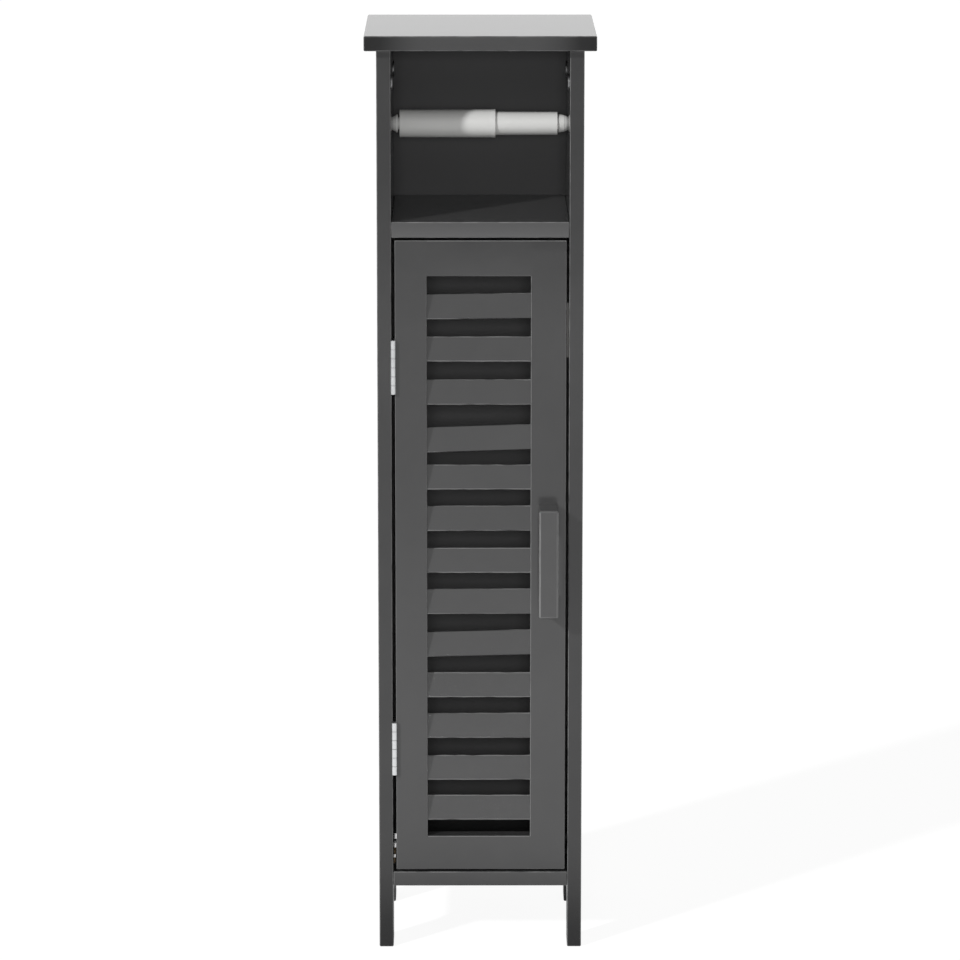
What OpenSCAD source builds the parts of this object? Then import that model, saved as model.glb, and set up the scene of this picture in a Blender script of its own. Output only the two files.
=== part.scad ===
// Toilet roll storage cabinet: an open roll niche over a louvred door on a narrow floor-standing case.
// +Z is up and +Y runs from the front to the back. The origin is the bottom centre of the whole object.
// Inside the modules Y is counted from the front faces of the side panels, and at_front() moves it home.

/* [Case] */
// Height from the floor to the top surface
cabinet_h = 780; // [690:1:960]
// Width across the outer faces of the side panels
case_w = 172; // [140:1:220]
// Depth from the front of the side panels to the very back
case_d = 170; // [140:1:220]
// Thickness of the side panels
panel_t = 12; // [10:0.5:16]
// Thickness of the back panel
back_t = 2.5; // [2:0.5:4]
// How far the back panel stays inside the outer faces of the side panels
back_margin = 1; // [0.5:0.5:3]

/* [Top board] */
// Thickness of the top board
top_t = 12.5; // [11:0.5:18]
// Overhang of the top board on each side
top_side_over = 10; // [4:1:25]
// Overhang of the top board at the front
top_front_over = 10; // [4:1:25]

/* [Shelf and base] */
// Clear height of the open niche
niche_h = 142.8; // [130:0.1:180]
// Thickness of the shelf board
shelf_t = 13.5; // [11:0.5:18]
// Thickness of the base board
base_t = 12.5; // [11:0.5:18]
// Height of the base board's underside above the floor
leg_h = 53.9; // [45:0.1:90]
// Open gap between the base board and the left side panel, behind their contact at the front
base_gap = 1.2; // [0.4:0.1:2]
// How far back the base board touches the left side panel
base_contact_d = 28; // [10:1:29]

/* [Legs] */
// Depth of each front leg
front_leg_d = 32; // [20:1:45]
// Depth of each rear leg
rear_leg_d = 29; // [20:1:45]
// Height of the cut-out between the legs
arch_h = 42; // [25:1:44]
// Corner radius of the cut-out between the legs
arch_r = 10; // [3:1:20]

/* [Door] */
// Thickness of the door frame
door_t = 15; // [12.5:0.5:20]
// Gap at the hinge side of the door
hinge_gap = 2.7; // [2.6:0.1:4]
// Gap at the handle side of the door
latch_gap = 2.1; // [1.5:0.1:4]
// Gap above and below the door
door_end_gap = 2; // [1:0.1:4]
// Width of the stile that carries the hinges
hinge_stile_w = 26.7; // [22:0.1:34]
// Width of the stile that carries the handle
handle_stile_w = 29.8; // [24:0.1:36]
// Height of the top rail
top_rail_h = 30.2; // [24:0.1:45]
// Height of the bottom rail
bottom_rail_h = 29.5; // [24:0.1:45]

/* [Louvres] */
// Distance from one louvre to the next
louvre_pitch = 36; // [28:0.5:48]
// Width of a louvre slat
louvre_w = 21.5; // [16:0.5:26]
// Thickness of a louvre slat
louvre_t = 5; // [4:0.1:6]
// Tilt of the slats, lower edge forward
louvre_tilt = 15; // [5:1:20]
// Radius on the long edges of a slat
louvre_edge_r = 1.2; // [0.5:0.1:1.8]
// How far the lower edge of a slat lies behind the door's face
louvre_recess = 1; // [0.6:0.1:1.4]
// Distance from the top of the window to the middle of the first slat
first_louvre = 26; // [18:0.5:32]
// How deep each slat end sits in its stile
louvre_tenon = 5.7; // [4:0.1:8]

/* [Handle] */
// Height of the middle of the handle above the floor
handle_z = 340; // [260:1:380]
// Length of the handle
handle_l = 92.4; // [75:0.1:130]
// Width of the handle
handle_w = 16.6; // [12:0.1:22]
// How far the handle stands out from the door
handle_out = 31; // [24:0.5:40]
// Thickness of the handle's grip bar
grip_t = 12; // [8:0.5:15]
// Height of each foot of the handle
handle_foot_h = 16; // [12:0.5:24]

/* [Hinges] */
// Distance from each end of the door to the middle of its hinge
hinge_inset = 106.5; // [50:0.5:130]
// Height of a hinge
hinge_h = 45.6; // [36:0.6:60]
// Outer radius of the hinge barrel
barrel_r = 2.3; // [1.8:0.1:2.4]
// Radius of the hinge pin
hinge_pin_r = 1; // [0.8:0.1:1.2]
// Thickness of a hinge leaf
leaf_t = 0.9; // [0.8:0.1:1]
// Number of knuckles on a hinge
knuckle_count = 6; // [4:2:8]

/* [Catch] */
// Distance from the top of the door to the middle of the catch
catch_drop = 78.3; // [40:0.1:100]
// Height of the catch
catch_h = 46; // [42:0.5:60]
// Depth of the catch from front to back
catch_d = 14; // [12:0.5:20]
// How far the catch stands out from the side panel
catch_out = 13; // [12:0.5:16]

/* [Roll spindle] */
// Distance from the top board's underside to the spindle's axis
spindle_drop = 70; // [50:0.5:80]
// Distance from the front of the side panels to the spindle's axis
spindle_y = 77; // [60:1:90]
// Outer radius of the wide tube
wide_r = 11.8; // [11.4:0.1:13.5]
// Outer radius of the narrow tube
narrow_r = 9.75; // [8.8:0.05:9.9]
// Wall thickness of the wide tube
wide_wall = 1.2; // [1:0.1:1.2]
// Wall thickness of the narrow tube
narrow_wall = 1.3; // [1:0.1:1.6]
// Length of the wide tube
wide_len = 80.7; // [60:0.1:90]
// Length of the narrow tube inside the wide tube
narrow_hidden_len = 35; // [25:1:38]
// Radius of the collar on the wide tube's nub
wide_collar_r = 7.6; // [7.2:0.1:8.5]
// Length of the collar on the wide tube's nub
wide_collar_len = 1.9; // [1:0.1:3]
// Radius of the collar on the narrow tube's nub, beside the tube
narrow_collar_r = 7.8; // [7.2:0.1:8.5]
// Radius of the same collar at its tip
narrow_collar_tip_r = 7; // [6.9:0.1:7.2]
// Length of the collar on the narrow tube's nub
narrow_collar_len = 4.9; // [1:0.1:7]
// Radius of the round end of each nub
dome_r = 6.9; // [6.5:0.1:7.2]

/* [Fasteners] */
// Distance from a joint to the middle of its cam lock
cam_inset = 30; // [24:0.5:36]
// Radius of a cam lock
cam_r = 6.5; // [5.5:0.1:7.5]
// How far the niche's cam locks stand out of the side panels
cam_proud = 1; // [0:0.1:1.5]
// Distance from the front and rear edges of a board to its cam bolts
bolt_edge = 34; // [26:1:40]
// Distance from a cam bolt to the dowel beside it
dowel_step = 36; // [20:1:38]
// Distance from the rear edge of the base board to its rear cam bolts
base_bolt_edge = 47; // [36:1:50]
// Distance from the base board's front and rear cam bolts to the dowels beside them
base_dowel_steps = [22, 32]; // [18:1:32]
// Radius of the wooden dowels
dowel_r = 3; // [2.5:0.1:3.5]
// Number of nails up each side of the back panel
nail_rows = 6; // [4:1:9]

/* [Hidden] */
$fn = 48;

// Clearances
fit = 0.2;
turn_fit = 0.05;
slide_fit = 0.3;
over = 1;

// Case levels and faces
half_w = case_w / 2;
inner_half = half_w - panel_t;
panel_mid = half_w - panel_t / 2;
nail_head_t = 0.5;
panel_d = case_d - back_t - nail_head_t;
top_z = cabinet_h - top_t;
shelf_top = top_z - niche_h;
shelf_z = shelf_top - shelf_t;
base_top = leg_h + base_t;
shelf_mid = shelf_z + shelf_t / 2;
base_mid = leg_h + base_t / 2;
sides = [-1, 1];
front_reach = max(handle_out, top_front_over);
front_y = -(case_d - front_reach) / 2;

// Door outline and window
door_x0 = -inner_half + hinge_gap;
door_x1 = inner_half - latch_gap;
door_z0 = base_top + door_end_gap;
door_z1 = shelf_z - door_end_gap;
window_x0 = door_x0 + hinge_stile_w;
window_x1 = door_x1 - handle_stile_w;
window_z0 = door_z0 + bottom_rail_h;
window_z1 = door_z1 - top_rail_h;
rail_mids = [(window_z1 + door_z1) / 2, (door_z0 + window_z0) / 2];

// Louvres: the small errors of the hand-set slats, top to bottom
louvre_drops = [0, 0.3, 0.8, 4, 1.2, 0.5, 0.7, 0, 0.2, 0.4, -0.2, 0.5, -0.5];
louvre_skews = [0.7, 0, 0.2, 1.8, 0, 0.2, 0, 0.3, 1.4, 0, 0.2, 0, 0];
last_louvre_room = 17;
louvre_count = 1 + floor((window_z1 - window_z0 - first_louvre - last_louvre_room) / louvre_pitch);
louvre_back = louvre_w * sin(louvre_tilt) / 2;

// Door frame dowels
door_dowel_len = 30;
door_dowel_spread = 14;

// Handle and its screws
handle_x = window_x1 + handle_stile_w / 2;
handle_screw_r = 2;
handle_screw_head_r = 4;
handle_screw_head_t = 2.2;
handle_screw_bite = 14;

// Hinges
hinge_x = -inner_half + hinge_gap / 2;
hinge_y = -barrel_r;
hinge_z = [door_z1 - hinge_inset, door_z0 + hinge_inset];
knuckle_gap = 0.3;
knuckle_h = hinge_h / knuckle_count;
leaf_start = 0.3;
leaf_margin = 1.5;
leaf_d = door_t - leaf_margin;
hinge_screw_r = 1.2;
hinge_screw_head_r = 2.4;
hinge_screw_len = 10;
hinge_screw_spread = 15;
hinge_screw_y = (leaf_start + leaf_d) / 2;

// Magnetic catch and strike plate
catch_z = door_z1 - catch_drop;
strike_t = 1;
strike_w = 10;
strike_margin = 0.5;
strike_h = 36;
catch_gap = 0.3;
pole_front = door_t + strike_t + catch_gap;
pole_reach = 0.7;
catch_front = pole_front + pole_reach;
lug_t = 4;
catch_block_h = 28;
pocket_wall = 2;
pocket_back_wall = 3;
pocket_w = catch_out - pocket_wall - pocket_back_wall - 2 * fit;
pocket_d = 10;
pole_t = 1.5;
catch_screw_r = 1.5;
catch_screw_head_r = 2.8;
catch_screw_head_t = 2;
catch_screw_bite = 8;
catch_screw_spread = (catch_h + catch_block_h) / 4;
catch_slot = 1.5;
strike_x = door_x1 - strike_margin - strike_w / 2;
strike_screw_r = 1.3;
strike_screw_head_r = 2.2;
strike_screw_len = 9;
strike_screw_spread = 12;

// Roll spindle
spindle_z = top_z - spindle_drop;
neck_r = 5;
wide_neck_len = 1.3;
narrow_neck_len = 0.9;
dome_inset = 4.5;
collar_inset = 3.1;
dome_centre = inner_half - dome_inset;
collar_x = inner_half - collar_inset;
wide_x0 = -(collar_x - wide_collar_len - wide_neck_len);
wide_x1 = wide_x0 + wide_len;
narrow_x0 = wide_x1 - narrow_hidden_len;
narrow_x1 = collar_x - narrow_collar_len - narrow_neck_len;
end_wall = 1.8;
mouth_len = 3;
bead_len = 2;
bead_fit = 0.2;
bead_r = wide_r - wide_wall - bead_fit;
socket_r = 5.6;
socket_d = 3;

// Compression spring inside the spindle
spring_r = 6;
wire_r = 0.6;
spring_x0 = wide_x0 + end_wall + slide_fit + wire_r;
spring_x1 = narrow_x1 - end_wall - slide_fit - wire_r;
spring_pitch = 6.5;
spring_turns = round((spring_x1 - spring_x0) / spring_pitch);
rings_per_turn = 8;
wire_sides = 6;

// Cam bolts, cams, dowels and nails
bolt_y = [bolt_edge, panel_d - bolt_edge];
dowel_y = [bolt_edge + dowel_step, panel_d - bolt_edge - dowel_step];
base_bolt_y = [bolt_edge, panel_d - base_bolt_edge];
base_dowel_y = [base_bolt_y[0] + base_dowel_steps[0], base_bolt_y[1] - base_dowel_steps[1]];
thread_r = 2.5;
thread_len = 8.5;
shank_r = 2;
bolt_head_r = 3;
bolt_head_len = 3;
cam_reach = 3.6;
cam_slot_l = 8;
cam_slot_w = 1.3;
cam_slot_d = 1.2;
dowel_in_board = 16;
dowel_in_panel = 8;
// Height, bolt depths and dowel depths of each level board's joints: shelf, then base
level_joints = [[shelf_mid, bolt_y, dowel_y], [base_mid, base_bolt_y, base_dowel_y]];
nail_r = 0.6;
nail_len = 14;
nail_head_r = 1.6;
nail_margin = 24;
nail_x = inner_half / 2;
nail_z = [for (i = [0:nail_rows - 1]) leg_h + nail_margin
          + i * (top_z - leg_h - 2 * nail_margin) / (nail_rows - 1)];
nail_spots = concat(
    [for (s = sides, z = nail_z) [s * panel_mid, z]],
    [for (s = sides, z = [shelf_mid, base_mid]) [s * nail_x, z]]
);

// Colours
paint = "#4b4c4e";
paint_dark = "#434446";
bare_board = "#3a3a3b";
zinc = "#c9ccd0";
steel = "#9da0a4";
birch = "#cfae7e";
white = "#e9e8e4";
catch_grey = "#b9b9b6";
magnet_grey = "#2c2c2e";

function louvre_name(i) = str("louvre_", i < 10 ? "0" : "", i);
function listed(list, i) = i <= len(list) ? list[i - 1] : 0;
louvre_names = [for (i = [1:louvre_count]) louvre_name(i)];

// ---- Shared shapes ----

module at_front() {
    translate([0, front_y, 0]) children();
}

module block(x, y, z) {
    translate([x[0], y[0], z[0]]) cube([x[1] - x[0], y[1] - y[0], z[1] - z[0]]);
}

module rod_x(x, r) {
    translate([x[0], 0, 0]) rotate([0, 90, 0]) cylinder(h = x[1] - x[0], r = r);
}

module rod_y(y, r) {
    translate([0, y[0], 0]) rotate([-90, 0, 0]) cylinder(h = y[1] - y[0], r = r);
}

// A screw along +Z whose flat or pan head ends at z = 0
module countersunk_screw(r, head_r, len) {
    head_t = head_r - r;
    rotate_extrude() polygon([
        [0, 0], [r, 0], [r, len - head_t], [head_r, len], [0, len]
    ]);
}

module pan_screw(r, head_r, head_t, len) {
    rotate_extrude() polygon([
        [0, 0], [r, 0], [r, len], [head_r, len], [head_r, len + head_t], [0, len + head_t]
    ]);
}

// ---- Knock-down fittings ----
// Local frame of a fitting: the joint is at z = 0, the bolt's thread is above it, the cam is
// below it, and the cam's face looks along +X.

module bolt() {
    head_z = [-cam_inset - bolt_head_len / 2, -cam_inset + bolt_head_len / 2];
    rotate_extrude() polygon([
        [0, head_z[0]], [bolt_head_r, head_z[0]], [bolt_head_r, head_z[1]], [shank_r, head_z[1]],
        [shank_r, 0], [thread_r, 0], [thread_r, thread_len], [0, thread_len]
    ]);
}

module bolt_thread_hole() {
    translate([0, 0, -over]) cylinder(h = thread_len + over + fit, r = thread_r + turn_fit);
}

module bolt_shank_hole() {
    translate([0, 0, -cam_inset]) cylinder(h = cam_inset + over, r = bolt_head_r + 2 * fit);
}

module cam(face) {
    room = bolt_head_r + fit;
    difference() {
        translate([0, 0, -cam_inset]) rod_x([-cam_reach, face], cam_r);
        block([-cam_reach - over, room + fit], [-room, room],
              [-cam_inset - room, -cam_inset + cam_r + over]);
        for (turn = [0, 90]) {
            translate([0, 0, -cam_inset]) rotate([turn, 0, 0])
                block([face - cam_slot_d, face + over], [-cam_slot_l / 2, cam_slot_l / 2],
                      [-cam_slot_w / 2, cam_slot_w / 2]);
        }
    }
}

module cam_bore(face) {
    translate([0, 0, -cam_inset]) rod_x([-cam_reach - fit, face + over], cam_r + fit);
}

module dowel() {
    translate([0, 0, -dowel_in_board]) cylinder(h = dowel_in_board + dowel_in_panel, r = dowel_r);
}

module dowel_hole_in_board() {
    translate([0, 0, -dowel_in_board - fit])
        cylinder(h = dowel_in_board + fit + over, r = dowel_r + turn_fit);
}

module dowel_hole_in_panel() {
    translate([0, 0, -over]) cylinder(h = dowel_in_panel + fit + over, r = dowel_r + turn_fit);
}

// Joint between the top board and the top edge of a side panel; the cam faces the niche
module at_top_joint(side, y) {
    translate([side * panel_mid, y, top_z]) mirror([side > 0 ? 1 : 0, 0, 0]) children();
}

// Joint between a side panel and the end of a level board; the cam faces down
module at_side_joint(side, y, z) {
    mirror([side < 0 ? 1 : 0, 0, 0]) translate([inner_half, y, z]) rotate([0, 90, 0]) children();
}

module at_all_top_joints(side, ys) {
    for (y = ys) at_top_joint(side, y) children();
}

module at_all_side_joints(side, ys, z) {
    for (y = ys) at_side_joint(side, y, z) children();
}

// ---- Nails of the back panel ----

module nails(r, head_r) {
    for (spot = nail_spots) {
        translate([spot[0], 0, spot[1]]) {
            rotate([90, 0, 0]) translate([0, 0, -case_d]) rotate_extrude() polygon([
                [0, 0], [head_r, 0], [head_r, nail_head_t], [r, nail_head_t], [r, nail_len], [0, nail_len]
            ]);
        }
    }
}

// The holes run over the tip of each nail and out through the back
module nail_holes() {
    for (spot = nail_spots) {
        translate([spot[0], 0, spot[1]]) rod_y([case_d - nail_len - fit, case_d + over], nail_r + turn_fit);
    }
}

// ---- Case ----

module top_board() {
    color(paint) at_front() difference() {
        block([-half_w - top_side_over, half_w + top_side_over], [-top_front_over, case_d],
              [top_z, cabinet_h]);
        for (s = sides) {
            at_all_top_joints(s, bolt_y) bolt_thread_hole();
            at_all_top_joints(s, dowel_y) dowel_hole_in_panel();
        }
    }
}

// Cut-out between the front and rear legs, with two round upper corners
module leg_arch() {
    y = [front_leg_d, panel_d - rear_leg_d];
    x = [-half_w - over, half_w + over];
    block(x, y, [-over, arch_h - arch_r]);
    block(x, [y[0] + arch_r, y[1] - arch_r], [-over, arch_h]);
    for (corner = [y[0] + arch_r, y[1] - arch_r]) {
        translate([0, corner, arch_h - arch_r]) rod_x(x, arch_r);
    }
}

module side_panel(side) {
    x = side > 0 ? [inner_half, half_w] : [-half_w, -inner_half];
    difference() {
        block(x, [0, panel_d], [0, top_z]);
        leg_arch();
        at_all_top_joints(side, bolt_y) {
            cam_bore(panel_t / 2);
            bolt_shank_hole();
        }
        at_all_top_joints(side, dowel_y) dowel_hole_in_board();
        for (joint = level_joints) {
            at_all_side_joints(side, joint[1], joint[0]) bolt_thread_hole();
            at_all_side_joints(side, joint[2], joint[0]) dowel_hole_in_panel();
        }
        translate([0, spindle_y, spindle_z]) rod_x([side > 0 ? inner_half - over : -inner_half - socket_d,
            side > 0 ? inner_half + socket_d : -inner_half + over], socket_r);
        nail_holes();
        children();
    }
}

module left_side_panel() {
    color(paint_dark) at_front() side_panel(-1) {
        hinge_screws(-1, hinge_screw_r + turn_fit, fit);
    }
}

module right_side_panel() {
    color(paint_dark) at_front() side_panel(1) {
        at_catch_screws() translate([0, 0, -fit])
            cylinder(h = catch_screw_bite + over, r = catch_screw_r + turn_fit);
    }
}

// A board between the side panels; its cams lie in its underside
module level_board(z, joint) {
    difference() {
        block([-inner_half, inner_half], [0, panel_d], z);
        for (s = sides) {
            at_all_side_joints(s, joint[1], joint[0]) {
                cam_bore(joint[0] - z[0]);
                bolt_shank_hole();
            }
            at_all_side_joints(s, joint[2], joint[0]) dowel_hole_in_board();
        }
        nail_holes();
        children();
    }
}

module shelf_board() {
    color(paint) at_front() level_board([shelf_z, shelf_top], level_joints[0]);
}

module base_board() {
    color(paint) at_front() level_board([leg_h, base_top], level_joints[1])
        block([-inner_half - over, -inner_half + base_gap], [base_contact_d, case_d],
              [leg_h - over, base_top + over]);
}

module back_panel() {
    color(bare_board) at_front() difference() {
        block([-half_w + back_margin, half_w - back_margin], [panel_d, panel_d + back_t], [leg_h, top_z]);
        nail_holes();
    }
}

module back_panel_nails() {
    color(zinc) at_front() nails(nail_r, nail_head_r);
}

module cam_locks() {
    color(zinc) at_front() {
        for (s = sides) {
            at_all_top_joints(s, bolt_y) cam(panel_t / 2 + cam_proud);
            at_all_side_joints(s, bolt_y, shelf_mid) cam(shelf_t / 2);
            at_all_side_joints(s, base_bolt_y, base_mid) cam(base_t / 2);
        }
    }
}

module cam_bolts() {
    color(zinc) at_front() {
        for (s = sides) {
            at_all_top_joints(s, bolt_y) bolt();
            for (joint = level_joints) at_all_side_joints(s, joint[1], joint[0]) bolt();
        }
    }
}

module case_dowels() {
    color(birch) at_front() {
        for (s = sides) {
            at_all_top_joints(s, dowel_y) dowel();
            for (joint = level_joints) at_all_side_joints(s, joint[2], joint[0]) dowel();
        }
    }
}

// ---- Door frame and louvres ----

// Rounded outline of a slat across its length; grow widens it all round for its mortise
module louvre_outline(grow) {
    a = louvre_t / 2 + grow;
    b = louvre_w / 2 + grow;
    r = louvre_edge_r + grow;
    square([2 * (a - r), 2 * b], center = true);
    square([2 * a, 2 * (b - r)], center = true);
    for (u = [-1, 1], v = [-1, 1]) translate([u * (a - r), v * (b - r)]) circle(r);
}

module louvre_body(i, grow, tenon) {
    x = [window_x0 - tenon, window_x1 + tenon];
    y = louvre_recess + louvre_back + louvre_t / 2 * cos(louvre_tilt);
    z = window_z1 - first_louvre - (i - 1) * louvre_pitch - listed(louvre_drops, i);
    translate([(x[0] + x[1]) / 2, y, z]) rotate([0, -listed(louvre_skews, i), 0])
        rotate([-louvre_tilt, 0, 0]) rotate([90, 0, 90]) translate([0, 0, -(x[1] - x[0]) / 2])
        linear_extrude(x[1] - x[0]) louvre_outline(grow);
}

module louvre(i) {
    color(paint) at_front() louvre_body(i, 0, louvre_tenon);
}

module louvre_mortises() {
    for (i = [1:louvre_count]) louvre_body(i, fit / 2, louvre_tenon + slide_fit);
}

module at_door_corners(ends, rails) {
    for (x = ends, z = rails, dz = [-1, 1]) {
        translate([x, door_t / 2, z + dz * door_dowel_spread / 2]) children();
    }
}

module door_dowel_holes(ends) {
    half = door_dowel_len / 2 + fit;
    at_door_corners(ends, rail_mids) rod_x([-half, half], dowel_r + turn_fit);
}

module door_hinge_stile() {
    color(paint) at_front() difference() {
        block([door_x0, window_x0], [0, door_t], [door_z0, door_z1]);
        louvre_mortises();
        door_dowel_holes([window_x0]);
        hinge_screws(1, hinge_screw_r + turn_fit, fit);
    }
}

module door_handle_stile() {
    color(paint) at_front() difference() {
        block([window_x1, door_x1], [0, door_t], [door_z0, door_z1]);
        louvre_mortises();
        door_dowel_holes([window_x1]);
        at_handle_screws() rod_y([-over, door_t + over], handle_screw_r + fit);
        at_strike_screws() rod_y([-strike_screw_len - fit, over], strike_screw_r + turn_fit);
    }
}

module door_rail(z) {
    difference() {
        block([window_x0, window_x1], [0, door_t], z);
        door_dowel_holes([window_x0, window_x1]);
    }
}

module door_top_rail() {
    color(paint) at_front() door_rail([window_z1, door_z1]);
}

module door_bottom_rail() {
    color(paint) at_front() door_rail([door_z0, window_z0]);
}

module door_dowels() {
    color(birch) at_front() at_door_corners([window_x0, window_x1], rail_mids)
        rod_x([-door_dowel_len / 2, door_dowel_len / 2], dowel_r);
}

// ---- Handle ----

module at_handle_screws() {
    spread = (handle_l - handle_foot_h) / 2;
    for (dz = [-spread, spread]) translate([handle_x, 0, handle_z + dz]) children();
}

module door_handle() {
    gap_z = handle_l / 2 - handle_foot_h;
    color(paint) at_front() difference() {
        translate([handle_x, 0, handle_z])
            block([-handle_w / 2, handle_w / 2], [-handle_out, 0], [-handle_l / 2, handle_l / 2]);
        translate([handle_x, 0, handle_z])
            block([-handle_w, handle_w], [-handle_out + grip_t, over], [-gap_z, gap_z]);
        at_handle_screws() rod_y([-handle_screw_bite - fit, over], handle_screw_r + turn_fit);
    }
}

module handle_screws() {
    color(zinc) at_front() at_handle_screws() translate([0, -handle_screw_bite, 0]) rotate([-90, 0, 0])
        pan_screw(handle_screw_r, handle_screw_head_r, handle_screw_head_t, handle_screw_bite + door_t);
}

// ---- Hinges ----

// Knuckles of one leaf: part 0 belongs to the frame, part 1 to the door
module knuckles(part, r, shrink) {
    for (k = [part:2:knuckle_count - 1]) {
        translate([0, 0, k * knuckle_h - hinge_h / 2 + shrink]) cylinder(h = knuckle_h - 2 * shrink, r = r);
    }
}

module hinge_leaf(part, z) {
    side = part == 0 ? -1 : 1;
    flat = part == 0 ? [-hinge_gap / 2, -hinge_gap / 2 + leaf_t] : [hinge_gap / 2 - leaf_t, hinge_gap / 2];
    bore = hinge_pin_r + (part == 0 ? turn_fit / 2 : turn_fit);
    color(zinc) at_front() difference() {
        union() {
            translate([hinge_x, hinge_y, z]) {
                knuckles(part, barrel_r, knuckle_gap / 2);
                block(flat, [barrel_r + leaf_start, barrel_r + leaf_d], [-hinge_h / 2, hinge_h / 2]);
                for (k = [part:2:knuckle_count - 1]) {
                    foot_z = k * knuckle_h - hinge_h / 2 + knuckle_gap / 2;
                    block(flat, [hinge_pin_r + leaf_t / 2, barrel_r + leaf_start + over],
                          [foot_z, foot_z + knuckle_h - knuckle_gap]);
                }
            }
        }
        translate([hinge_x, hinge_y, z - hinge_h / 2 - over]) cylinder(h = hinge_h + 2 * over, r = bore);
        hinge_screws(side, hinge_screw_r + turn_fit, turn_fit);
    }
}

module hinge_pin(z) {
    tip = 0.4;
    color(steel) at_front() translate([hinge_x, hinge_y, z - hinge_h / 2 - tip])
        cylinder(h = hinge_h + 2 * tip, r = hinge_pin_r);
}

// Screws into the side panel (side -1) or the door's edge (side 1), each grown for its hole
module hinge_screws(side, r, grow) {
    face = side < 0 ? -hinge_gap / 2 + leaf_t : hinge_gap / 2 - leaf_t;
    for (z = hinge_z, dz = [-1, 1]) {
        translate([hinge_x + face, hinge_screw_y, z + dz * hinge_screw_spread]) rotate([0, side * 90, 0])
            translate([0, 0, hinge_screw_len + grow]) mirror([0, 0, 1])
            countersunk_screw(r, hinge_screw_head_r + r - hinge_screw_r, hinge_screw_len + grow);
    }
}

module upper_hinge_frame_leaf() {
    hinge_leaf(0, hinge_z[0]);
}

module upper_hinge_door_leaf() {
    hinge_leaf(1, hinge_z[0]);
}

module upper_hinge_pin() {
    hinge_pin(hinge_z[0]);
}

module lower_hinge_frame_leaf() {
    hinge_leaf(0, hinge_z[1]);
}

module lower_hinge_door_leaf() {
    hinge_leaf(1, hinge_z[1]);
}

module lower_hinge_pin() {
    hinge_pin(hinge_z[1]);
}

module hinge_frame_screws() {
    color(zinc) at_front() hinge_screws(-1, hinge_screw_r, 0);
}

module hinge_door_screws() {
    color(zinc) at_front() hinge_screws(1, hinge_screw_r, 0);
}

// ---- Magnetic catch ----

module at_catch_screws() {
    for (dz = [-1, 1]) {
        translate([inner_half, catch_front + catch_d / 2, catch_z + dz * catch_screw_spread])
            rotate([0, 90, 0]) children();
    }
}

// The catch body without its pocket: two screw lugs and a deeper middle block
module catch_body() {
    y = [catch_front, catch_front + catch_d];
    block([inner_half - lug_t, inner_half], y, [catch_z - catch_h / 2, catch_z + catch_h / 2]);
    block([inner_half - catch_out, inner_half], y,
          [catch_z - catch_block_h / 2, catch_z + catch_block_h / 2]);
}

module catch_housing() {
    color(catch_grey) at_front() difference() {
        catch_body();
        block([inner_half - catch_out + pocket_wall, inner_half - pocket_back_wall],
              [catch_front - over, catch_front + pocket_d],
              [catch_z - catch_block_h / 2 + pocket_wall, catch_z + catch_block_h / 2 - pocket_wall]);
        at_catch_screws() {
            for (dy = [-catch_slot, catch_slot]) {
                translate([0, dy, -catch_out]) cylinder(h = catch_out + over, r = catch_screw_r + fit);
            }
            slot_r = catch_screw_r + fit;
            block([-slot_r, slot_r], [-catch_slot, catch_slot], [-catch_out, over]);
        }
    }
}

// The magnet and its two pole plates fill the pocket from side to side; span is counted across it
module pocket_fill(span, y) {
    x = inner_half - catch_out + pocket_wall + fit;
    z_half = catch_block_h / 2 - pocket_wall - fit;
    block([x + span[0], x + span[1]], y, [catch_z - z_half, catch_z + z_half]);
}

module catch_magnet() {
    color(magnet_grey) at_front()
        pocket_fill([pole_t + fit, pocket_w - pole_t - fit],
                    [catch_front + fit, catch_front + pocket_d - fit]);
}

module catch_pole_plates() {
    y = [pole_front, catch_front + pocket_d - fit];
    color(steel) at_front() {
        pocket_fill([0, pole_t], y);
        pocket_fill([pocket_w - pole_t, pocket_w], y);
    }
}

module catch_screws() {
    color(zinc) at_front() at_catch_screws() translate([0, 0, catch_screw_bite]) mirror([0, 0, 1])
        pan_screw(catch_screw_r, catch_screw_head_r, catch_screw_head_t, catch_screw_bite + lug_t);
}

module at_strike_screws() {
    for (dz = [-1, 1]) translate([strike_x, door_t, catch_z + dz * strike_screw_spread]) children();
}

module strike_screw_shape(r, grow) {
    translate([0, -strike_screw_len - grow, 0]) rotate([-90, 0, 0])
        countersunk_screw(r, strike_screw_head_r + r - strike_screw_r, strike_screw_len + strike_t + grow);
}

module strike_plate() {
    color(steel) at_front() difference() {
        block([strike_x - strike_w / 2, strike_x + strike_w / 2], [door_t, door_t + strike_t],
              [catch_z - strike_h / 2, catch_z + strike_h / 2]);
        at_strike_screws() strike_screw_shape(strike_screw_r + turn_fit, turn_fit);
    }
}

module strike_screws() {
    color(zinc) at_front() at_strike_screws() strike_screw_shape(strike_screw_r, 0);
}

// ---- Spring spindle for the roll ----

module at_spindle() {
    at_front() translate([0, spindle_y, spindle_z]) children();
}

// Outline from the tip of a nub down to its tube at tube_x: round end, collar and neck, as
// [radius, place on axis]. The collar's radii are given at its tip and beside the neck.
function nub_outline(tip_r, root_r, collar_len, tube_x) =
    let (first = asin((collar_x - dome_centre) / dome_r), steps = 9)
    concat(
        [for (k = [steps:-1:0])
            let (a = first + (90 - first) * k / steps)
            [dome_r * cos(a), dome_centre + dome_r * sin(a)]],
        [[tip_r, collar_x], [root_r, collar_x - collar_len],
         [neck_r, collar_x - collar_len], [neck_r, tube_x]]);

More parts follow.
